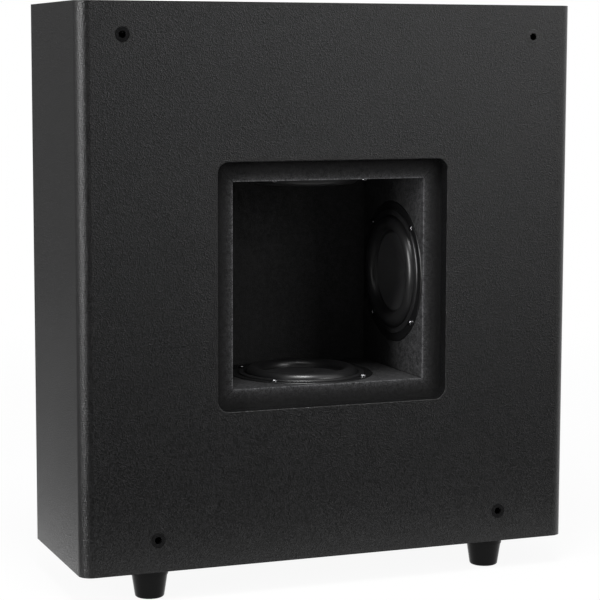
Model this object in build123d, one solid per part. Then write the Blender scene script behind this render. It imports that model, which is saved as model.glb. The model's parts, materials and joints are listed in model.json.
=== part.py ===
from build123d import *
import math
import os

# A slim floor-standing subwoofer. Four bass drivers fire inwards, into a square cavity that
# opens through the middle of the front. Millimetres, +Z up, the front faces -Y, and the origin
# lies on the floor under the middle of the cabinet.

# Cabinet
cabinet_width = 568.0
cabinet_height = 600.0
panel_thickness = 15.0
back_thickness = 12.0
front_edge_radius = 14.0

# Cavity: the opening in the front panel and the inner box of four mitred driver boards
opening_size = 266.0
opening_corner_radius = 12.5
opening_edge_break = 0.8
cavity_size = 222.8
driver_board_thickness = 25.0

# Feet
foot_height = 34.0
foot_top_radius = 20.8
foot_bottom_radius = 15.6
foot_band_height = 8.5
foot_edge_radius = 2.5
foot_band_taper = 0.6
foot_band_step = 0.7
foot_spread = 400.0
foot_inset = 34.0
foot_screw_radius = 2.4
foot_screw_grip = 12.0
foot_floor_thickness = 8.0
foot_bore_radius = 8.5
foot_washer_radius = 7.5
foot_washer_thickness = 1.5

# Sockets for the grille's pegs
socket_flange_radius = 8.0
socket_flange_thickness = 1.2
socket_body_radius = 6.2
socket_bore_radius = 3.9
socket_length = 13.0
socket_floor = 2.0
socket_slot_width = 1.2
socket_slot_depth = 7.0
socket_edge_drop = 34.4
top_socket_inset = 48.2
bottom_socket_inset = 83.7

# Driver, measured along its own axis from the face of its board; the front is positive
flange_radius = 80.0
flange_margin = 2.5
flange_proud = 1.0
flange_thickness = 5.0
flange_chamfer = 0.5
basket_throat_radius = 70.5
basket_inner_radius = 63.0
basket_wall = 3.2
basket_window_count = 6
basket_window_width = 42.0
spider_seat_depth = 31.0
spider_seat_radius = 50.4
spider_inner_seat = 44.0
basket_floor_depth = 44.0
basket_floor_thickness = 3.0
surround_lip_radius = 69.5
surround_lip_thickness = 0.8
surround_seat_drop = 1.5
surround_roll_radius = 8.0
surround_outer_edge = 63.3
gasket_inner_radius = 64.6
gasket_lap = 1.5
gasket_height = 2.0
gasket_chamfer = 0.7
cone_depth = 16.0
apex_radius = 10.0
cone_thickness = 1.2
coil_radius = 19.0
former_thickness = 0.4
former_length = 46.0
winding_thickness = 1.2
winding_length = 23.0
coil_gap = 0.6
spider_thickness = 0.6
spider_wave = 1.6
spider_wave_count = 4
top_plate_radius = 45.0
top_plate_thickness = 8.0
magnet_radius = 52.0
magnet_inner_radius = 27.0
magnet_thickness = 18.0
yoke_radius = 48.0
yoke_plate_thickness = 8.0
pole_vent_radius = 5.5
seal_thickness = 0.8
bolt_circle_radius = 75.2
screw_radius = 1.9
screw_length = 18.0
screw_head_radius = 3.6
screw_head_height = 2.4
tag_width = 14.0
tag_length = 10.0
tag_thickness = 2.0

# Terminal cup, posts and caps on the back
cup_center_height = 94.0
cup_flange_width = 92.0
cup_flange_height = 68.0
cup_flange_thickness = 3.0
cup_inner_width = 71.0
cup_inner_height = 47.0
cup_depth = 31.5
cup_wall = 2.5
cup_corner_radius = 6.0
cup_screw_radius = 1.7
cup_screw_length = 12.0
cup_screw_head_height = 1.2
post_spacing = 38.0
post_radius = 3.0
post_collar_radius = 7.0
post_collar_height = 3.0
post_inner_length = 14.0
nut_width = 9.0
nut_thickness = 4.0
cap_radius = 7.5
cap_length = 13.0
cap_roof = 1.5
cap_flute_count = 16
cap_flute_radius = 0.9
post_washer_radius = 6.5
post_washer_thickness = 1.0

# Leads and wadding inside
lead_radius = 2.2
lead_bend = 12.0
lead_plane = 30.0
top_lead_plane = 8.0
lead_wall_gap = 34.0
wadding_thickness = 18.0
wadding_length = 430.0
wadding_depth = 150.0

# Clearances
fit_gap = 0.1
recess_gap = 0.4
running_gap = 0.3

# Places that follow. The depth is what the round flange needs between front and back panel.
inner_depth = 2 * (flange_radius + flange_margin)
cabinet_depth = panel_thickness + inner_depth + back_thickness
front = -cabinet_depth / 2
back = cabinet_depth / 2
inner_front = front + panel_thickness
inner_back = back - back_thickness
inner_middle = (inner_front + inner_back) / 2
inner_half_width = cabinet_width / 2 - panel_thickness
cabinet_top = foot_height + cabinet_height
cavity_height = foot_height + cabinet_height / 2
cavity_half = cavity_size / 2
board_outer_half = cavity_half + driver_board_thickness
flange_back = flange_proud - flange_thickness
rebate_depth = seal_thickness - flange_back
cutout_radius = basket_throat_radius + recess_gap
surround_seat = flange_proud - surround_seat_drop
gasket_radius = surround_lip_radius + gasket_lap
surround_inner_edge = surround_outer_edge - 2 * surround_roll_radius
basket_floor = -basket_floor_depth
basket_back = basket_floor - basket_floor_thickness
magnet_front = basket_back - top_plate_thickness
yoke_front = magnet_front - magnet_thickness
yoke_back = yoke_front - yoke_plate_thickness
winding_middle = basket_back - top_plate_thickness / 2
winding_radius = coil_radius + winding_thickness
pole_radius = coil_radius - former_thickness - coil_gap
gap_radius = winding_radius + coil_gap
cup_floor = back - cup_depth
lead_start = cup_floor - post_inner_length - fit_gap
washer_seat = cup_floor + post_collar_height + running_gap
cap_seat = washer_seat + post_washer_thickness + running_gap
tag_depth = basket_floor_depth - 6.0
tag_radius = spider_seat_radius + tag_length / 2


def slab(x_span, y_span, z_span):
    """Box between two values on each axis."""
    size = [high - low for low, high in (x_span, y_span, z_span)]
    middle = [(high + low) / 2 for low, high in (x_span, y_span, z_span)]
    return Pos(*middle) * Box(*size)


def turned(points):
    """Ring or disc about Z, from a half section of (radius, height) points."""
    outline = Polyline([(radius, 0, height) for radius, height in points], close=True)
    return revolve(make_face(outline), Axis.Z)


def ring(inner, outer, low, high):
    """Plain ring about Z."""
    return turned([(inner, low), (outer, low), (outer, high), (inner, high)])


def rod_y(radius, y_from, y_to, x, z):
    """Cylinder along Y at (x, z), between two values of y."""
    length = abs(y_to - y_from)
    return Pos(x, (y_from + y_to) / 2, z) * Rot(90, 0, 0) * Cylinder(radius, length)


def solids_of(shape):
    """One flat list of the solids in a shape."""
    return list(shape.solids())


# Each driver's own frame: its axis points into the cavity, and its tag side is its own +Y
driver_frames = {
    "bottom": Plane((0, inner_middle, cavity_height - cavity_half), (0, 1, 0), (0, 0, 1)),
    "top": Plane((0, inner_middle, cavity_height + cavity_half), (0, 1, 0), (0, 0, -1)),
    "left": Plane((-cavity_half, inner_middle, cavity_height), (0, -1, 0), (1, 0, 0)),
    "right": Plane((cavity_half, inner_middle, cavity_height), (0, 1, 0), (-1, 0, 0)),
}


def in_place(side, shape):
    """A driver piece moved from the driver's frame to its place in the cabinet."""
    return driver_frames[side].location * shape


def screw_angles():
    return [45.0 + 90.0 * index for index in range(4)]


def socket_places():
    """(x, z) of the four grille sockets: the bottom pair is set further in than the top pair."""
    top = cabinet_top - socket_edge_drop
    bottom = foot_height + socket_edge_drop
    top_x = cabinet_width / 2 - top_socket_inset
    bottom_x = cabinet_width / 2 - bottom_socket_inset
    return [(-top_x, top), (top_x, top), (-bottom_x, bottom), (bottom_x, bottom)]


def foot_places():
    """(x, y) of the four feet."""
    foot_y = cabinet_depth / 2 - foot_inset
    half = foot_spread / 2
    return [(x, y) for x in (-half, half) for y in (-foot_y, foot_y)]


def cup_screw_places():
    """(x, z) of the terminal cup's four screws, in the middle of its flange at the corners."""
    x = (cup_flange_width + cup_inner_width + 2 * cup_wall) / 4 - cup_wall / 2
    z = (cup_flange_height + cup_inner_height + 2 * cup_wall) / 4 - cup_wall / 2
    return [(sx * x, cup_center_height + sz * z) for sx in (-1, 1) for sz in (-1, 1)]


def rounded_block(width, height, radius, y_from, y_to, z):
    """Block with rounded corners seen from the front or back, centred on x = 0."""
    sketch = Plane((0, y_from, z), (1, 0, 0), (0, -1, 0)) * RectangleRounded(width, height, radius)
    return extrude(sketch, y_from - y_to)


# Cabinet panels

def is_opening_rim(edge):
    """True for an edge of the opening that lies in the front face."""
    middle = edge.center()
    reach = opening_size / 2 + 1
    in_opening = abs(middle.X) < reach and abs(middle.Z - cavity_height) < reach
    return in_opening and abs(middle.Y - front) < 0.01


def front_panel():
    half = cabinet_width / 2
    body = slab((-half, half), (front, inner_front), (foot_height, cabinet_top))
    edges = body.edges().filter_by(Axis.Z).filter_by(lambda edge: edge.center().Y < front + 1)
    body = fillet(edges, front_edge_radius)
    body -= rounded_block(
        opening_size, opening_size, opening_corner_radius, front - 1, inner_front + 1, cavity_height
    )
    rim = body.edges().filter_by(lambda edge: is_opening_rim(edge))
    body = fillet(rim, opening_edge_break)
    for x, z in socket_places():
        body -= rod_y(socket_body_radius + fit_gap, front - 1, inner_front + 1, x, z)
        body -= rod_y(
            socket_flange_radius + fit_gap, front - 1, front + socket_flange_thickness, x, z
        )
    return body


def side_panel(side):
    outer = side * cabinet_width / 2
    inner = side * inner_half_width
    return slab(sorted((outer, inner)), (inner_front, back), (foot_height, cabinet_top))


def top_panel():
    span = (-inner_half_width, inner_half_width)
    return slab(span, (inner_front, back), (cabinet_top - panel_thickness, cabinet_top))


def bottom_panel():
    span = (-inner_half_width, inner_half_width)
    body = slab(span, (inner_front, back), (foot_height, foot_height + panel_thickness))
    for x, y in foot_places():
        depth = foot_screw_grip + running_gap
        body -= Pos(x, y, foot_height + depth / 2) * Cylinder(foot_screw_radius + fit_gap, depth)
    return body


def back_panel():
    body = slab(
        (-inner_half_width, inner_half_width),
        (inner_back, back),
        (foot_height + panel_thickness, cabinet_top - panel_thickness),
    )
    body -= rounded_block(
        cup_flange_width + 2 * fit_gap,
        cup_flange_height + 2 * fit_gap,
        cup_corner_radius + fit_gap,
        back - cup_flange_thickness,
        back + 1,
        cup_center_height,
    )
    body -= rounded_block(
        cup_inner_width + 2 * cup_wall + 2 * recess_gap,
        cup_inner_height + 2 * cup_wall + 2 * recess_gap,
        cup_corner_radius + recess_gap,
        inner_back - 1,
        back,
        cup_center_height,
    )
    for x, z in cup_screw_places():
        body -= rod_y(cup_screw_radius + fit_gap, inner_back - 1, back, x, z)
    return body


def driver_board():
    """One mitred board of the inner box, in its driver's frame."""
    inner = cavity_half
    outer = board_outer_half
    thick = driver_board_thickness
    section = make_face(
        Polyline([(0, -inner, 0), (0, inner, 0), (0, outer, -thick), (0, -outer, -thick)], close=True)
    )
    body = Pos(-inner_depth / 2, 0, 0) * extrude(section, inner_depth, dir=(1, 0, 0))
    body -= ring(0, flange_radius + recess_gap, -rebate_depth, 1)
    body -= ring(0, cutout_radius, -thick - 1, 0)
    for angle in screw_angles():
        depth = screw_length + running_gap
        hole = Cylinder(screw_radius + fit_gap, depth)
        body -= Rot(0, 0, angle) * Pos(bolt_circle_radius, 0, flange_proud - depth / 2) * hole
    return body


# Driver pieces, each in the driver's frame

def basket():
    """Frame with a flange, six windows, a seat for the spider and a floor for the motor."""
    floor_outer = spider_seat_radius - basket_wall
    body = turned(
        [
            (flange_radius - flange_chamfer, flange_proud),
            (flange_radius, flange_proud - flange_chamfer),
            (flange_radius, flange_back),
            (basket_throat_radius, flange_back),
            (basket_throat_radius, flange_back - 4.0),
            (spider_seat_radius + basket_wall, -spider_seat_depth),
            (spider_seat_radius, basket_back),
            (gap_radius + 1.0, basket_back),
            (gap_radius + 1.0, basket_floor),
            (spider_inner_seat, basket_floor),
            (spider_inner_seat, -spider_seat_depth),
            (spider_seat_radius, -spider_seat_depth),
            (spider_seat_radius, 3.0 - spider_seat_depth),
            (basket_inner_radius, flange_back - 3.0),
            (basket_inner_radius, surround_seat),
            (gasket_radius + running_gap, surround_seat),
            (gasket_radius + running_gap, flange_proud - flange_chamfer),
            (gasket_radius + running_gap + flange_chamfer, flange_proud),
        ]
    )
    window_top = flange_back - 5.5
    window_bottom = 1.5 - spider_seat_depth
    window_radius = (basket_throat_radius + spider_seat_radius) / 2
    window = Box(40.0, basket_window_width, window_top - window_bottom)
    for index in range(basket_window_count):
        angle = 360.0 * (index + 0.5) / basket_window_count
        place = Pos(window_radius, 0, (window_top + window_bottom) / 2)
        body -= Rot(0, 0, angle) * place * window
    for angle in screw_angles():
        hole = Cylinder(screw_radius + recess_gap, 3 * flange_thickness)
        body -= Rot(0, 0, angle) * Pos(bolt_circle_radius, 0, 0) * hole
    tag = Box(tag_width, tag_length + basket_wall, tag_thickness)
    body += Pos(0, tag_radius - basket_wall / 2, -tag_depth) * tag
    return body


def gasket_ring():
    """Trim ring that clamps the lip of the surround to the flange, with both top edges chamfered."""
    low = surround_seat + surround_lip_thickness
    high = low + gasket_height
    return turned(
        [
            (gasket_inner_radius, low),
            (gasket_radius, low),
            (gasket_radius, high - gasket_chamfer),
            (gasket_radius - gasket_chamfer, high),
            (gasket_inner_radius + gasket_chamfer, high),
            (gasket_inner_radius, high - gasket_chamfer),
        ]
    )


def driver_seal():
    """Foam ring between the flange and the floor of the rebate, open round each screw."""
    body = ring(cutout_radius, flange_radius, -rebate_depth, flange_back)
    for angle in screw_angles():
        hole = Cylinder(screw_radius + recess_gap, 3 * rebate_depth)
        body -= Rot(0, 0, angle) * Pos(bolt_circle_radius, 0, 0) * hole
    return body


def driver_screws():
    """Four pan-head screws with a hexagon socket."""
    shank = Pos(0, 0, flange_proud - screw_length / 2) * Cylinder(screw_radius, screw_length)
    head = Pos(0, 0, flange_proud + screw_head_height / 2) * Cylinder(screw_head_radius, screw_head_height)
    head = fillet(head.edges().sort_by(Axis.Z)[-1], 1.2)
    socket = extrude(RegularPolygon(1.6, 6), screw_head_height)
    screw = shank + head - Pos(0, 0, flange_proud + 0.8) * socket
    return [Rot(0, 0, angle) * Pos(bolt_circle_radius, 0, 0) * screw for angle in screw_angles()]


def surround():
    """Half-roll ring with a flat lip outside and a narrow one inside."""
    seat = surround_seat
    top = seat + surround_lip_thickness
    middle = surround_outer_edge - surround_roll_radius
    outer_roll = surround_roll_radius
    inner_roll = surround_roll_radius - surround_lip_thickness
    inner_lip = surround_inner_edge - 3.0
    edges = [
        Line((surround_lip_radius, 0, seat), (surround_lip_radius, 0, top)),
        Line((surround_lip_radius, 0, top), (middle + outer_roll, 0, top)),
        ThreePointArc(
            (middle + outer_roll, 0, top), (middle, 0, top + outer_roll), (middle - outer_roll, 0, top)
        ),
        Line((middle - outer_roll, 0, top), (inner_lip, 0, top)),
        Line((inner_lip, 0, top), (inner_lip, 0, seat)),
        Line((inner_lip, 0, seat), (middle - inner_roll, 0, seat)),
        ThreePointArc(
            (middle - inner_roll, 0, seat), (middle, 0, seat + inner_roll), (middle + inner_roll, 0, seat)
        ),
        Line((middle + inner_roll, 0, seat), (surround_lip_radius, 0, seat)),
    ]
    return revolve(make_face(edges), Axis.Z)


def cone():
    """Straight-sided dish with a rounded apex, a rim under the surround and a neck for the coil former."""
    rim = surround_seat
    low_rim = rim - cone_thickness
    dish_edge = surround_inner_edge - 3.5
    neck_inner = coil_radius + fit_gap
    neck_outer = neck_inner + cone_thickness
    neck_bottom = neck_bottom_height()
    ball_height = rim - cone_depth + apex_radius
    reach = math.hypot(dish_edge, rim - ball_height)
    slope = math.atan2(rim - ball_height, dish_edge) + math.asin(apex_radius / reach)

    def apex_point(angle, thickness):
        ball = apex_radius + thickness
        return (ball * math.sin(angle), 0, ball_height - ball * math.cos(angle))

    def side_point(radius, thickness):
        start = apex_point(slope, thickness)
        return (radius, 0, start[2] + (radius - start[0]) * math.tan(slope))

    def apex_arc(thickness):
        return ThreePointArc(*[apex_point(share * slope, thickness) for share in (0, 0.5, 1)])

    under_start = apex_point(slope, cone_thickness)
    back_edge = under_start[0] + (low_rim - under_start[2]) / math.tan(slope)
    rim_outer = surround_inner_edge
    edges = [
        apex_arc(0),
        Line(apex_point(slope, 0), (dish_edge, 0, rim)),
        Line((dish_edge, 0, rim), (rim_outer, 0, rim)),
        Line((rim_outer, 0, rim), (rim_outer, 0, low_rim)),
        Line((rim_outer, 0, low_rim), (back_edge, 0, low_rim)),
        Line((back_edge, 0, low_rim), side_point(neck_outer, cone_thickness)),
        Line(side_point(neck_outer, cone_thickness), (neck_outer, 0, neck_bottom)),
        Line((neck_outer, 0, neck_bottom), (neck_inner, 0, neck_bottom)),
        Line((neck_inner, 0, neck_bottom), side_point(neck_inner, cone_thickness)),
        Line(side_point(neck_inner, cone_thickness), under_start),
        apex_arc(cone_thickness),
        Line(apex_point(0, cone_thickness), apex_point(0, 0)),
    ]
    return revolve(make_face(edges), Axis.Z)


def neck_bottom_height():
    return surround_seat - cone_depth - cone_thickness - 4.0


def voice_coil():
    """Former tube with its winding, centred in the motor's gap."""
    top = neck_bottom_height() + 3.0
    low = top - former_length
    half = winding_length / 2
    inner = coil_radius - former_thickness
    return turned(
        [
            (inner, top),
            (inner, low),
            (coil_radius, low),
            (coil_radius, winding_middle - half),
            (winding_radius, winding_middle - half),
            (winding_radius, winding_middle + half),
            (coil_radius, winding_middle + half),
            (coil_radius, top),
        ]
    )


def spider():
    """Corrugated disc between the former and the basket's seat."""
    low = -spider_seat_depth
    high = low + spider_thickness
    inner = coil_radius + fit_gap
    seat_inner = spider_inner_seat - spider_thickness
    wave_start = inner + 2.0
    step = (seat_inner - wave_start) / (2 * spider_wave_count)

    def wave(base):
        arcs = []
        for index in range(2 * spider_wave_count):
            start = wave_start + index * step
            lift = spider_wave if index % 2 == 0 else -spider_wave
            middle = (start + step / 2, 0, base + lift)
            arcs.append(ThreePointArc((start, 0, base), middle, (start + step, 0, base)))
        return arcs

    outer = spider_seat_radius - fit_gap
    edges = [
        Line((inner, 0, low), (wave_start, 0, low)),
        *wave(low),
        Line((seat_inner, 0, low), (outer, 0, low)),
        Line((outer, 0, low), (outer, 0, high)),
        Line((outer, 0, high), (seat_inner, 0, high)),
        *wave(high),
        Line((wave_start, 0, high), (inner, 0, high)),
        Line((inner, 0, high), (inner, 0, low)),
    ]
    return revolve(make_face(edges), Axis.Z)


def top_plate():
    return ring(gap_radius, top_plate_radius, magnet_front, basket_back)


def magnet():
    return ring(magnet_inner_radius, magnet_radius, yoke_front, magnet_front)


def yoke():
    """Back plate and pole piece in one, with a vent through the pole."""
    return turned(
        [
            (pole_vent_radius, basket_back),
            (pole_radius, basket_back),
            (pole_radius, yoke_front),
            (yoke_radius, yoke_front),
            (yoke_radius, yoke_back),
            (pole_vent_radius, yoke_back),
        ]
    )


# Small parts of the cabinet

def grille_sockets():
    """Push-in sockets, flush in the front, with four sprung fingers behind the flange."""
    sockets = []
    for x, z in socket_places():
        end = front + socket_length
        body = rod_y(socket_flange_radius, front, front + socket_flange_thickness, x, z)
        body += rod_y(socket_body_radius, front, end, x, z)
        body -= rod_y(socket_bore_radius, front - 1, end - socket_floor, x, z)
        for turn in (0, 90):
            slot = Box(3 * socket_body_radius, socket_slot_depth, socket_slot_width)
            middle = end - socket_slot_depth / 2
            body -= Pos(x, middle, z) * Rot(0, turn, 0) * slot
        sockets += solids_of(body)
    return sockets


def rubber_foot():
    """Tapered foot with a straight band at the top and a bore for its screw from below."""
    body = turned(
        [
            (0, foot_height),
            (foot_top_radius, foot_height),
            (foot_top_radius - foot_band_taper, foot_height - foot_band_height),
            (foot_top_radius - foot_band_taper - foot_band_step, foot_height - foot_band_height),
            (foot_bottom_radius, 0),
            (0, 0),
        ]
    )
    body = fillet(body.edges().sort_by(Axis.Z)[0], foot_edge_radius)
    floor = foot_height - foot_floor_thickness
    body -= ring(0, foot_bore_radius, -1, floor)
    body -= ring(0, foot_screw_radius + fit_gap, 0, foot_height + 1)
    return body


def foot_washer():
    high = foot_height - foot_floor_thickness
    return ring(foot_screw_radius + fit_gap, foot_washer_radius, high - foot_washer_thickness, high)


def foot_screw():
    seat = foot_height - foot_floor_thickness - foot_washer_thickness
    head_radius = 2 * foot_screw_radius
    head_height = 3.0
    body = ring(0, foot_screw_radius, seat, foot_height + foot_screw_grip)
    body += fillet(ring(0, head_radius, seat - head_height, seat).edges().sort_by(Axis.Z)[0], 1.2)
    return body - Pos(0, 0, seat - head_height) * extrude(RegularPolygon(2.2, 6), 1.6)


def terminal_cup():
    """Recessed dish whose flange lies flush in the back panel."""
    body = rounded_block(
        cup_flange_width,
        cup_flange_height,
        cup_corner_radius,
        back - cup_flange_thickness,
        back,
        cup_center_height,
    )
    body += rounded_block(
        cup_inner_width + 2 * cup_wall,
        cup_inner_height + 2 * cup_wall,
        cup_corner_radius,
        cup_floor - cup_wall,
        back,
        cup_center_height,
    )
    body -= rounded_block(
        cup_inner_width,
        cup_inner_height,
        cup_corner_radius - cup_wall,
        cup_floor,
        back + 1,
        cup_center_height,
    )
    for x, z in cup_screw_places():
        body -= rod_y(cup_screw_radius + recess_gap, inner_back, back + 1, x, z)
        head_radius = 2 * cup_screw_radius + fit_gap
        body -= rod_y(head_radius, back - cup_screw_head_height, back + 1, x, z)
    for x in post_places():
        body -= rod_y(post_radius + fit_gap, cup_floor - 2 * cup_wall, back, x, cup_center_height)
    return body


def post_places():
    return [-post_spacing / 2, post_spacing / 2]


def terminal_screws():
    """Four screws whose flat heads lie within the flange's thickness."""
    screws = []
    for x, z in cup_screw_places():
        head = rod_y(2 * cup_screw_radius, back - cup_screw_head_height, back, x, z)
        screws.append(rod_y(cup_screw_radius, back - cup_screw_length, back, x, z) + head)
    return screws


def binding_stud(x):
    """Threaded stud with a collar that seats on the floor of the cup."""
    z = cup_center_height
    top = cap_seat + cap_length - cap_roof - running_gap
    body = rod_y(post_radius, cup_floor - post_inner_length, top, x, z)
    return body + rod_y(post_collar_radius, cup_floor, cup_floor + post_collar_height, x, z)


def post_nut(x):
    """Hexagon nut that clamps the stud from inside."""
    face = cup_floor - cup_wall
    plane = Plane((x, face, cup_center_height), (1, 0, 0), (0, -1, 0))
    nut = extrude(plane * RegularPolygon(nut_width / 2, 6, major_radius=False), nut_thickness)
    hole = rod_y(post_radius + fit_gap, face + 1, face - nut_thickness - 1, x, cup_center_height)
    return nut - hole


def post_washer(x):
    z = cup_center_height
    high = washer_seat + post_washer_thickness
    body = rod_y(post_washer_radius, washer_seat, high, x, z)
    return body - rod_y(post_radius + running_gap, washer_seat - 1, high + 1, x, z)


def post_cap(x):
    """Fluted cap that screws along the stud."""
    z = cup_center_height
    low = cap_seat
    high = low + cap_length
    body = rod_y(cap_radius, low, high, x, z)
    body = fillet(body.edges().sort_by(Axis.Y)[-1], 1.5)
    body -= rod_y(post_radius + running_gap, low - 1, high - cap_roof, x, z)
    for index in range(cap_flute_count):
        angle = math.radians(360.0 * index / cap_flute_count)
        reach = cap_radius + 0.35 * cap_flute_radius
        flute_x = x + reach * math.cos(angle)
        flute_z = z + reach * math.sin(angle)
        body -= rod_y(cap_flute_radius, low + 2.0, high + 1, flute_x, flute_z)
    return body


# Inside the chambers

def lead(points):
    """Round twin lead along straight runs joined by arcs."""
    path = FilletPolyline(*points, radius=lead_bend)
    start = Plane(origin=path @ 0, z_dir=path % 0)
    return sweep(start * Circle(lead_radius), path)


def speaker_leads():
    """One lead from the posts to the tag of each driver."""
    z = cup_center_height
    tag_x = cavity_half + tag_depth + tag_thickness / 2
    tag_z = cavity_height - tag_radius
    offset = lead_radius + 0.4
    post_x = post_spacing / 2
    far_x = cabinet_width / 2 - panel_thickness - wadding_thickness - lead_wall_gap
    top_x = far_x + 5 * lead_radius + 6.0
    bottom_tag = cavity_height - tag_x
    top_tag = cavity_height + tag_x
    high_z = top_tag + 55.0
    turn_gap = 1.0
    bottom_route = [
        (offset - post_x, lead_start, z),
        (offset - post_x, inner_middle, z),
        (-tag_radius, inner_middle, z),
        (-tag_radius, inner_middle, bottom_tag - fit_gap),
    ]
    top_route = [
        (post_x - offset, lead_start, z),
        (post_x - offset, top_lead_plane, z),
        (top_x, top_lead_plane, z),
        (top_x, top_lead_plane, high_z),
        (tag_radius, top_lead_plane, high_z),
        (tag_radius, inner_middle, top_tag + turn_gap),
    ]
    routes = [bottom_route, top_route]
    for side in (-1, 1):
        routes.append(
            [
                (side * (post_x + offset), lead_start, z),
                (side * (post_x + offset), lead_plane, z),
                (side * far_x, lead_plane, z),
                (side * far_x, lead_plane, tag_z),
                (side * (tag_x + turn_gap), inner_middle, tag_z),
            ]
        )
    return [lead(route) for route in routes]


def wadding_sheets():
    """Soft sheets glued inside the side walls and under the top."""
    low_z = cavity_height - wadding_length / 2
    high_z = cavity_height + wadding_length / 2
    y_span = (inner_middle - wadding_depth / 2, inner_middle + wadding_depth / 2)
    sheets = []
    for side in (-1, 1):
        x_span = sorted((side * inner_half_width, side * (inner_half_width - wadding_thickness)))
        sheets.append(slab(x_span, y_span, (low_z, high_z)))
    ceiling = cabinet_top - panel_thickness
    half = wadding_length / 2
    sheets.append(slab((-half, half), y_span, (ceiling - wadding_thickness, ceiling)))
    return sheets


def save(name, pieces):
    """Write one node: a single solid or a group of separate ones."""
    shape = pieces[0] if len(pieces) == 1 else Compound(children=[Part() + piece for piece in pieces])
    export_step(shape, f"parts/{name}.step")


def build():
    os.makedirs("parts", exist_ok=True)
    save("front_panel", [front_panel()])
    save("back_panel", [back_panel()])
    save("left_panel", [side_panel(-1)])
    save("right_panel", [side_panel(1)])
    save("top_panel", [top_panel()])
    save("bottom_panel", [bottom_panel()])

    driver_pieces = {
        "driver_board": driver_board(),
        "basket": basket(),
        "surround": surround(),
        "cone": cone(),
        "voice_coil": voice_coil(),
        "spider": spider(),
        "top_plate": top_plate(),
        "magnet": magnet(),
        "yoke": yoke(),
    }
    for side in driver_frames:
        for name, piece in driver_pieces.items():
            save(f"{side}_{name}", [in_place(side, piece)])

    save("gasket_rings", [in_place(side, gasket_ring()) for side in driver_frames])
    save("driver_seals", [in_place(side, driver_seal()) for side in driver_frames])
    screws = driver_screws()
    save("driver_screws", [in_place(side, screw) for side in driver_frames for screw in screws])

    save("grille_sockets", grille_sockets())
    save("rubber_feet", [Pos(x, y, 0) * rubber_foot() for x, y in foot_places()])
    save("foot_washers", [Pos(x, y, 0) * foot_washer() for x, y in foot_places()])
    save("foot_screws", [Pos(x, y, 0) * foot_screw() for x, y in foot_places()])

    save("terminal_cup", [terminal_cup()])
    save("terminal_screws", terminal_screws())
    save("binding_studs", [binding_stud(x) for x in post_places()])
    save("post_nuts", [post_nut(x) for x in post_places()])
    for colour, x in zip(("black", "red"), post_places()):
        save(f"{colour}_post_washer", [post_washer(x)])
        save(f"{colour}_post_cap", [post_cap(x)])

    save("speaker_leads", speaker_leads())
    save("wadding_sheets", wadding_sheets())


build()
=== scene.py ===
import bpy
import json
import math
import numpy as np
from mathutils import Matrix, Vector


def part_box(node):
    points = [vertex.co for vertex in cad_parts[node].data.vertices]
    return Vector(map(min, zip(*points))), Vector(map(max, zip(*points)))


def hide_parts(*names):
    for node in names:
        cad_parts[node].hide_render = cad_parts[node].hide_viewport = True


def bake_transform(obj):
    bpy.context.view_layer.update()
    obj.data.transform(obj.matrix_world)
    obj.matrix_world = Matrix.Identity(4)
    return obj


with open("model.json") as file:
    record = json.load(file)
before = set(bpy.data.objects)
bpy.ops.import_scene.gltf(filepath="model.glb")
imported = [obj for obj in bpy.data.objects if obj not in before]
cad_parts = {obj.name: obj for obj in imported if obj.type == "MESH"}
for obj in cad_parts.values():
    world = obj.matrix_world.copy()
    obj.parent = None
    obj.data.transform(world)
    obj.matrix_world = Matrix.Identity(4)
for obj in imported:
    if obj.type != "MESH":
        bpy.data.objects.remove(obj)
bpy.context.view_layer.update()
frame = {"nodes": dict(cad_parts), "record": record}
print("frame loaded")

# shader maths: an expression on wrapped sockets adds its Math nodes


class Sock:
    def __init__(self, tree, socket):
        self.tree = tree
        self.socket = socket

    def compute(self, operation, first, second=None):
        node = self.tree.nodes.new("ShaderNodeMath")
        node.operation = operation
        for slot, value in zip(node.inputs, (first, second)):
            if isinstance(value, Sock):
                self.tree.links.new(value.socket, slot)
            elif value is not None:
                slot.default_value = value
        return Sock(self.tree, node.outputs[0])

    def __add__(self, other):
        return self.compute("ADD", self, other)

    def __radd__(self, other):
        return self.compute("ADD", other, self)

    def __sub__(self, other):
        return self.compute("SUBTRACT", self, other)

    def __rsub__(self, other):
        return self.compute("SUBTRACT", other, self)

    def __mul__(self, other):
        return self.compute("MULTIPLY", self, other)

    def __rmul__(self, other):
        return self.compute("MULTIPLY", other, self)

    def __truediv__(self, other):
        return self.compute("DIVIDE", self, other)

    def __rtruediv__(self, other):
        return self.compute("DIVIDE", other, self)

    def above(self, other):
        return self.compute("GREATER_THAN", self, other)

    def below(self, other):
        return self.compute("LESS_THAN", self, other)

    def atMost(self, other):
        return self.compute("MINIMUM", self, other)

    def atLeast(self, other):
        return self.compute("MAXIMUM", self, other)


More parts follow.
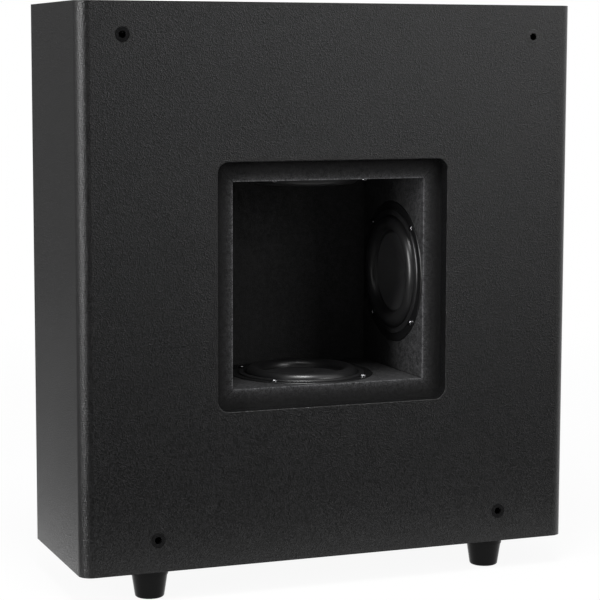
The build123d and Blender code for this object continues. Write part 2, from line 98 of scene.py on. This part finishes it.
class Finish:
    # one material with its Principled shader, and one method for any other node
    def __init__(self, name, colour=(0.8, 0.8, 0.8), roughness=0.5, **constants):
        self.material = bpy.data.materials.new(name)
        self.material.use_nodes = True
        self.tree = self.material.node_tree
        self.shader = self.tree.nodes["Principled BSDF"]
        self.put("Base Color", (*colour, 1.0))
        self.put("Roughness", roughness)
        for key, value in constants.items():
            self.put(key.replace("_", " "), value)
        self.coords = self.node("TexCoord", {}, {}, "Object")

    def node(self, kind, settings, values, output=0):
        made = self.tree.nodes.new("ShaderNode" + kind)
        for key, value in settings.items():
            setattr(made, key, value)
        for key, value in values.items():
            self.join(made.inputs[key], value)
        return Sock(self.tree, made.outputs[output])

    def join(self, target, value):
        if isinstance(value, Sock):
            self.tree.links.new(value.socket, target)
        else:
            target.default_value = value

    def put(self, name, value):
        self.join(self.shader.inputs[name], value)

    def along(self, axis):
        return self.node("SeparateXYZ", {}, {"Vector": self.coords}, axis)

    def noise(self, scale, detail=2.0, roughness=0.5):
        values = {"Vector": self.coords, "Scale": scale, "Detail": detail, "Roughness": roughness}
        return self.node("TexNoise", {}, values, "Fac")

    def cells(self, scale, output="Distance"):
        return self.node("TexVoronoi", {}, {"Vector": self.coords, "Scale": scale}, output)

    def cellTone(self, scale):
        # one random level for each cell
        return self.node("SeparateColor", {}, {"Color": self.cells(scale, "Color")}, 0)

    def tint(self, share, colour):
        # the colour times a level that varies
        parts = [share * level for level in colour]
        values = {"Red": parts[0], "Green": parts[1], "Blue": parts[2]}
        self.put("Base Color", self.node("CombineColor", {}, values))

    def bump(self, height, strength, distance):
        values = {"Height": height, "Strength": strength, "Distance": distance}
        self.put("Normal", self.node("Bump", {}, values))

    def dress(self, *things):
        for thing in things:
            thing.data.materials.clear()
            thing.data.materials.append(self.material)


wrapLook = {"colour": (0.0040, 0.0040, 0.0042), "rough": 0.31, "pebble": 820.0, "contrast": 3.2,
            "bump": 0.86, "bumpDepth": 0.0003, "insideLightGain": 1.8, "fine": 2.2, "fineShare": 0.8,
            "cloud": 6.0, "cloudShare": 0.25, "least": 0.05, "fineRough": 0.2, "cloudRough": 0.06,
            "fineBump": 0.6, "edge": 0.0005}
boardLook = {"colour": (0.0036, 0.0036, 0.00375), "rough": 0.8, "nap": 680.0, "mottle": 210.0,
             "napShare": 6.0, "mottleShare": 2.4, "mouthLightPeak": 4.6, "mouthLightWidth": 0.006, "mouthLightDepth": 0.05,
             "walls": 1.7, "ledgeShadeRate": 32.0,
             "arrisHighlight": 16.0, "arrisHighlightWidth": 0.0007, "seam": 0.0006, "seamDark": 0.8, "edge": 0.0005,
             "ledgeShadeStart": 1.15, "specular": 0.25, "cloud": 20.0, "cloudShare": 0.6, "least": 0.12,
             "napRough": 0.3, "napBump": 0.7, "bump": 0.6, "bumpDepth": 0.0008}


def wrapFinish():
    # fine pebble grain: a random level for each cell, crossed with noise, in tone, gloss and bump;
    # inner faces of the panels are bare painted board instead, so inside = 1 between the panels, made
    # lighter as painted light
    look = wrapLook
    made = Finish("satinWrap", look["colour"], look["rough"])
    low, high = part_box("left_driver_board")
    depthNow, across = made.along("Y"), made.along("X")
    upward = made.along("Z") - (low[2] + high[2]) / 2
    inside = depthNow.above(low[1] - look["edge"]) * depthNow.below(high[1] + look["edge"])
    inside = inside * across.compute("ABSOLUTE", across).below(-high[0])
    inside = inside * upward.compute("ABSOLUTE", upward).below(-high[0])
    pebble = made.cellTone(look["pebble"])
    fine = made.noise(look["fine"] * look["pebble"], 2.0, 0.6)
    cloud = made.noise(look["cloud"], 3.0)
    share = 1.0 + (pebble - 0.5) * look["contrast"] + (fine - 0.5) * look["fineShare"]
    share = share + (cloud - 0.5) * look["cloudShare"]
    painted = boardTone(made)
    # painted light: the inside faces made lighter than the board's paint by this gain
    insideLightRatio = look["insideLightGain"] * boardLook["colour"][0] / look["colour"][0]
    made.tint((share + inside * (painted * insideLightRatio - share)).atLeast(look["least"]), look["colour"])
    rough = look["rough"] + (fine - 0.5) * look["fineRough"] + (cloud - 0.5) * look["cloudRough"]
    made.put("Roughness", rough + inside * (boardLook["rough"] - look["rough"]))
    made.bump(made.cells(look["pebble"]) + fine * look["fineBump"], look["bump"], look["bumpDepth"])
    return made


def boardTone(made):
    # short nap over mottle, and a broad cloud under both
    look = boardLook
    nap = made.noise(look["nap"], 4.0, 0.7)
    mottle = made.noise(look["mottle"], 3.0)
    cloud = made.noise(look["cloud"], 2.0)
    share = 1.0 + (nap - 0.5) * look["napShare"] + (mottle - 0.5) * look["mottleShare"]
    return (share + (cloud - 0.5) * look["cloudShare"]).atLeast(look["least"])


def boardFinish():
    # rolled paint on fibreboard, with painted light round the cavity's mouth and on the walls inside, and
    # painted shade at the ledge's outer edge;
    # the painted light = 1 / (1 + (distance from the inner edge / width) squared), broad, and narrow as a
    # painted highlight, with a dark seam where the mitres meet
    look = boardLook
    made = Finish("cavityPaint", look["colour"], look["rough"])
    made.put("Specular IOR Level", look["specular"])
    low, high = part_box("left_driver_board")
    half, level = -high[0], (low[2] + high[2]) / 2
    across, upward = made.along("X"), made.along("Z") - level
    across = across.compute("ABSOLUTE", across)
    upward = upward.compute("ABSOLUTE", upward)
    aside = across.compute("MAXIMUM", across, upward) - half
    seam = (across - upward).compute("ABSOLUTE", across - upward).below(look["seam"])
    inward = made.along("Y") - low[1]
    # painted light: lighter near the cavity's mouth, fading across the ledge and back along the walls
    near = aside * aside / look["mouthLightWidth"] ** 2 + inward * inward / look["mouthLightDepth"] ** 2
    mouthLight = look["mouthLightPeak"] / (1.0 + near)
    # painted highlight: a narrow bright line along the ledge's inner edge
    arrisHighlight = look["arrisHighlight"] / (1.0 + (aside * aside + inward * inward) / look["arrisHighlightWidth"] ** 2)
    # painted light: the walls inside the cavity made lighter than the ledge
    walls = 1.0 + inward.above(look["edge"]) * look["walls"]
    # painted shade: darker towards the ledge's outer edge
    outer = (look["ledgeShadeStart"] - aside * look["ledgeShadeRate"]).atMost(1.0)
    share = boardTone(made) * (walls + mouthLight + arrisHighlight) * outer * (1.0 - seam * look["seamDark"])
    made.tint(share, look["colour"])
    nap = made.noise(look["nap"], 4.0, 0.7)
    made.put("Roughness", look["rough"] + (nap - 0.5) * look["napRough"])
    height = nap * look["napBump"] + made.noise(look["mottle"], 3.0)
    made.bump(height, look["bump"], look["bumpDepth"])
    return made


plainLook = {"broad": 14.0, "toneShare": 0.3, "fineRough": 0.12, "broadRough": 0.08}


def plainFinish(name, colour, rough, grain, strength, depth, **constants):
    # moulded or coated part: fine grain in bump and gloss, and a slight shift of tone
    made = Finish(name, colour, rough, **constants)
    fine = made.noise(grain, 3.0, 0.6)
    look = plainLook
    broad = made.noise(grain / look["broad"], 2.0)
    made.tint(1.0 + (broad - 0.5) * look["toneShare"] + (fine - 0.5) * look["toneShare"], colour)
    made.put("Roughness", rough + (fine - 0.5) * look["fineRough"] + (broad - 0.5) * look["broadRough"])
    made.bump(fine, strength, depth)
    return made


finishes = {
    "cabinet_wrap": wrapFinish(),
    "cavity_board": boardFinish(),
    "basket_black": plainFinish("flangeCoat", (0.005, 0.005, 0.0053), 0.36, 900.0, 0.12, 0.0003),
    "gasket_rubber": plainFinish("trimRubber", (0.012, 0.012, 0.0125), 0.35, 700.0, 0.1, 0.0002),
    "surround_rubber": plainFinish("rollRubber", (0.011, 0.011, 0.0114), 0.32, 260.0, 0.05, 0.0003),
    "cone_black": plainFinish("dishPlastic", (0.034, 0.034, 0.035), 0.3, 420.0, 0.008, 0.0001,
                              Coat_Weight=0.3, Coat_Roughness=0.14),
    "coil_metal": plainFinish("coilLacquer", (0.50, 0.26, 0.13), 0.35, 500.0, 0.2, 0.0003, Metallic=0.9),
    "spider_cloth": plainFinish("spiderWeave", (0.42, 0.29, 0.12), 0.85, 1400.0, 0.5, 0.0003),
    "plated_steel": plainFinish("zincPlate", (0.55, 0.56, 0.58), 0.32, 300.0, 0.08, 0.0002, Metallic=1.0),
    "ferrite": plainFinish("darkCeramic", (0.04, 0.04, 0.043), 0.6, 700.0, 0.2, 0.0003),
    "seal_foam": plainFinish("blackFoam", (0.02, 0.02, 0.02), 0.95, 1200.0, 0.6, 0.0004),
    "screw_steel": plainFinish("blackedSteel", (0.30, 0.30, 0.31), 0.2, 600.0, 0.05, 0.0001, Metallic=1.0),
    "socket_plastic": plainFinish("socketMoulding", (0.004, 0.004, 0.0042), 0.18, 500.0, 0.04, 0.0002),
    "foot_rubber": plainFinish("footRubber", (0.0015, 0.0015, 0.0016), 0.2, 500.0, 0.06, 0.0002,
                               Specular_IOR_Level=0.12),
    "cup_plastic": plainFinish("cupMoulding", (0.014, 0.014, 0.0145), 0.45, 900.0, 0.25, 0.0003),
    "plated_brass": plainFinish("goldPlate", (0.83, 0.60, 0.25), 0.22, 300.0, 0.04, 0.0001, Metallic=1.0),
    "cap_black": plainFinish("capBlack", (0.012, 0.012, 0.0125), 0.25, 400.0, 0.03, 0.0002),
    "cap_red": plainFinish("capRed", (0.36, 0.012, 0.012), 0.25, 400.0, 0.03, 0.0002),
    "lead_sleeve": plainFinish("leadSleeve", (0.02, 0.02, 0.02), 0.6, 700.0, 0.2, 0.0003),
    "wadding_cloth": plainFinish("waddingFleece", (0.72, 0.72, 0.70), 0.95, 500.0, 0.8, 0.002),
}
slotOf = {row["node"]: row["material_slot"] for row in frame["record"]["subparts"]}
for name, thing in frame["nodes"].items():
    finishes[slotOf[name]].dress(thing)
print("finishes on", len(frame["nodes"]), "frame pieces")


def gridMesh(name, points, closeU=False, closeV=False, smooth=True):
    # a grid of points (rows, columns, 3) as quads; closeU joins the last row to the first
    rows, columns = points.shape[:2]
    index = np.arange(rows * columns).reshape(rows, columns)
    if closeU:
        index = np.vstack([index, index[:1]])
    if closeV:
        index = np.hstack([index, index[:, :1]])
    quads = np.stack([index[:-1, :-1], index[1:, :-1], index[1:, 1:], index[:-1, 1:]], -1)
    mesh = bpy.data.meshes.new(name)
    mesh.from_pydata(points.reshape(-1, 3).tolist(), [], quads.reshape(-1, 4).tolist())
    mesh.polygons.foreach_set("use_smooth", [smooth] * len(mesh.polygons))
    mesh.update()
    thing = bpy.data.objects.new(name, mesh)
    bpy.context.scene.collection.objects.link(thing)
    return thing


def driverFrame(side):
    # rows are the driver's own x, y and z in the cabinet, and its place on the wall of the cavity
    low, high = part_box(side + "_driver_board")
    middle = (low + high) / 2
    axes = {"bottom": (2, 1), "top": (2, -1), "left": (0, 1), "right": (0, -1)}
    axis, sign = axes[side]
    inward = Vector((0, 0, 0))
    inward[axis] = sign
    place = middle.copy()
    place[axis] = (high if sign > 0 else low)[axis]
    across = Vector((0, 1, 0))
    return np.array([across, inward.cross(across), inward]), np.array(place)


def turnedPoints(profile, angles, side):
    # each profile point (radius, height) swept through the angles, in the driver's place
    axes, place = driverFrame(side)
    radius, height = profile[:, 0][:, None], profile[:, 1][:, None]
    local = np.stack([radius * np.cos(angles), radius * np.sin(angles), height + 0 * angles], -1)
    return local @ axes + place


surroundSize = {"outer": 0.0695, "rollOuter": 0.0633, "roll": 0.008, "inner": 0.0443,
                "seat": -0.0005, "thick": 0.0008, "around": 160, "across": 40}


def surroundProfile():
    # flat lip, a half circle of the roll's radius, and a narrow lip, then back underneath
    size = surroundSize
    top = size["seat"] + size["thick"]
    middle = size["rollOuter"] - size["roll"]
    turn = np.linspace(0, np.pi, size["across"])
    upper = np.stack([middle + size["roll"] * np.cos(turn), top + size["roll"] * np.sin(turn)], -1)
    under = size["roll"] - size["thick"]
    lower = np.stack([middle + under * np.cos(turn[::-1]), size["seat"] + under * np.sin(turn)], -1)
    outer = [[size["outer"], size["seat"]], [size["outer"], top]]
    inner = [[size["inner"], top], [size["inner"], size["seat"]]]
    return np.vstack([outer, upper, inner, lower])


def makeSurround(side):
    size = surroundSize
    angles = np.linspace(0, 2 * np.pi, size["around"], endpoint=False)
    points = turnedPoints(surroundProfile(), angles, side)
    piece = gridMesh(side + "SurroundRoll", points, closeU=True, closeV=True)
    finishes["surround_rubber"].dress(piece)
    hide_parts(side + "_surround")
    rideBetween(piece, side)


def rideBetween(piece, side):
    # bakes the piece's placing into its mesh and reads its points back
    axes, place = driverFrame(side)
    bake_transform(piece)
    points = np.empty(len(piece.data.vertices) * 3)
    piece.data.vertices.foreach_get("co", points)


spiderSize = {"inner": 0.0191, "outer": 0.0503, "waveFrom": 0.0211, "waveTo": 0.0434,
              "level": -0.031, "thick": 0.0006, "wave": 0.0016, "waves": 4, "steps": 90,
              "around": 96}


def makeSpider(side):
    # a flat disc with sine waves between two radii
    size = spiderSize
    radius = np.linspace(size["inner"], size["outer"], size["steps"])
    share = (radius - size["waveFrom"]) / (size["waveTo"] - size["waveFrom"])
    lift = np.where((share > 0) & (share < 1), np.sin(share * size["waves"] * 2 * np.pi), 0.0)
    low = np.stack([radius, size["level"] + size["wave"] * lift], -1)
    high = low + [0, size["thick"]]
    profile = np.vstack([low[::-1], high])
    angles = np.linspace(0, 2 * np.pi, size["around"], endpoint=False)
    piece = gridMesh(side + "SpiderDisc", turnedPoints(profile, angles, side), closeU=True, closeV=True)
    finishes["spider_cloth"].dress(piece)
    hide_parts(side + "_spider")
    rideBetween(piece, side)


sides = ("bottom", "top", "left", "right")
for side in sides:
    makeSurround(side)
    makeSpider(side)
print("surrounds and spiders made")

cameraSize = {"place": (-0.81249, -2.06628, 0.57408), "yaw": 20.854, "pitch": 6.541,
              "roll": -0.090, "lens": 119.325, "shift": (0.0315, -0.0206)}


def makeCamera():
    size = cameraSize
    data = bpy.data.cameras.new("camera")
    data.sensor_width = 36.0
    data.lens = size["lens"]
    data.shift_x, data.shift_y = size["shift"]
    data.clip_end = 100.0
    thing = bpy.data.objects.new("camera", data)
    bpy.context.scene.collection.objects.link(thing)
    yaw, pitch, roll = (math.radians(size[key]) for key in ("yaw", "pitch", "roll"))
    forward = Vector((math.sin(yaw) * math.cos(pitch), math.cos(yaw) * math.cos(pitch), -math.sin(pitch)))
    right = Vector((math.cos(yaw), -math.sin(yaw), 0))
    down = forward.cross(right)
    turnedRight = math.cos(roll) * right + math.sin(roll) * down
    turnedDown = -math.sin(roll) * right + math.cos(roll) * down
    turn = Matrix((turnedRight, -turnedDown, -forward)).transposed().to_4x4()
    thing.matrix_world = Matrix.Translation(size["place"]) @ turn
    bpy.context.scene.camera = thing


def seesBackdrop(finish):
    # 1 for rays that show the backdrop: from the camera, and off or through a glossy surface
    ray = finish.node("LightPath", {}, {}, "Is Camera Ray")
    glossy = finish.node("LightPath", {}, {}, "Is Glossy Ray")
    passed = finish.node("LightPath", {}, {}, "Is Transmission Ray")
    return (ray + glossy + passed).atMost(1.0)


floorLook = {"half": 12.0, "colour": (0.86, 0.86, 0.86), "rough": 0.8, "white": 0.93,
             "fadeFrom": 0.5, "fadeTo": 2.2}


def makeFloor():
    # one flat sheet; backdrop rays see it mostly as white, wholly so away from the part
    look = floorLook
    half = look["half"]
    corners = [(-half, -half, 0), (half, -half, 0), (half, half, 0), (-half, half, 0)]
    mesh = bpy.data.meshes.new("floor")
    mesh.from_pydata(corners, [], [(0, 1, 2, 3)])
    floor = bpy.data.objects.new("floor", mesh)
    bpy.context.scene.collection.objects.link(floor)
    made = Finish("paleFloor", look["colour"], look["rough"])
    made.put("Specular IOR Level", 0.0)
    away = made.node("VectorMath", {"operation": "LENGTH"}, {0: made.coords}, "Value")
    span = {"Value": away, "From Min": look["fadeFrom"], "From Max": look["fadeTo"],
            "To Min": look["white"], "To Max": 1.0}
    whiteness = made.node("MapRange", {"interpolation_type": "SMOOTHSTEP"}, span)
    white = made.node("Emission", {}, {"Color": (1, 1, 1, 1), "Strength": 1.0})
    shaded = Sock(made.tree, made.shader.outputs[0])
    mixed = made.node("MixShader", {}, {0: seesBackdrop(made) * whiteness, 1: shaded, 2: white})
    made.join(made.tree.nodes["Material Output"].inputs["Surface"], mixed)
    made.dress(floor)


lamps = [
    # name, place, width and height in metres, watts, what it points at
    ("leftStrip", (-2.2, -0.85, 0.88), (0.28, 1.5), 42.0, (-0.28, -0.09, 0.45)),
    ("rightSoftbox", (1.35, -2.35, 1.24), (1.0, 1.1), 17.0, (0.1, -0.1, 0.45)),
    ("overhead", (-0.3, -0.9, 2.5), (0.8, 0.8), 50.0, (0.0, -0.1, 0.3)),
]


def makeLamps():
    for name, place, size, watts, target in lamps:
        data = bpy.data.lights.new(name, "AREA")
        data.shape = "RECTANGLE"
        data.size, data.size_y = size
        data.energy = watts
        thing = bpy.data.objects.new(name, data)
        bpy.context.scene.collection.objects.link(thing)
        thing.location = place
        aim = Vector(target) - Vector(place)
        thing.rotation_euler = aim.to_track_quat("-Z", "Y").to_euler()


cards = [
    # name, glow, and its low and high corners: flat cards of a dark studio
    ("frontCloth", 0.125, (-4.0, -4.0, 0.002), (4.0, -0.2, 0.002)),
    ("frontWall", 0.022, (-4.0, -4.0, 0.0), (4.0, -4.0, 3.5)),
    ("sideCloth", 0.22, (-3.5, -0.3, 0.002), (-0.35, 2.4, 0.002)),
    ("sideWall", 0.19, (-3.5, 2.4, 0.0), (0.6, 2.4, 2.4)),
]


def makeCards():
    # they keep the white backdrop out of the black surfaces; only glossy rays meet them
    for name, glow, low, high in cards:
        flat = low[1] != high[1]
        corners = [low, (high[0], low[1], low[2]), high, (low[0], high[1], high[2])]
        mesh = bpy.data.meshes.new(name)
        mesh.from_pydata(corners, [], [(0, 1, 2, 3) if flat else (3, 2, 1, 0)])
        card = bpy.data.objects.new(name, mesh)
        bpy.context.scene.collection.objects.link(card)
        made = Finish(name, (0, 0, 0), 1.0)
        made.put("Specular IOR Level", 0.0)
        made.put("Emission Color", (1, 1, 1, 1))
        made.put("Emission Strength", glow)
        made.dress(card)
        card.visible_camera = card.visible_diffuse = card.visible_shadow = False
        card.visible_transmission = False


worldLook = {"light": 0.35, "colour": (1.0, 1.0, 1.0, 1.0)}


def makeWorld():
    # soft light all round; backdrop rays see it at strength 1, which is white
    world = bpy.data.worlds.new("studio")
    bpy.context.scene.world = world
    world.use_nodes = True
    tree = world.node_tree
    made = Finish.__new__(Finish)
    made.tree = tree
    strength = worldLook["light"] + seesBackdrop(made) * (1.0 - worldLook["light"])
    background = tree.nodes["Background"]
    made.join(background.inputs["Color"], worldLook["colour"])
    made.join(background.inputs["Strength"], strength)


makeCamera()
makeFloor()
makeCards()
makeLamps()
makeWorld()
bpy.context.scene.view_settings.view_transform = "Standard"
print("camera, floor and lamps placed")
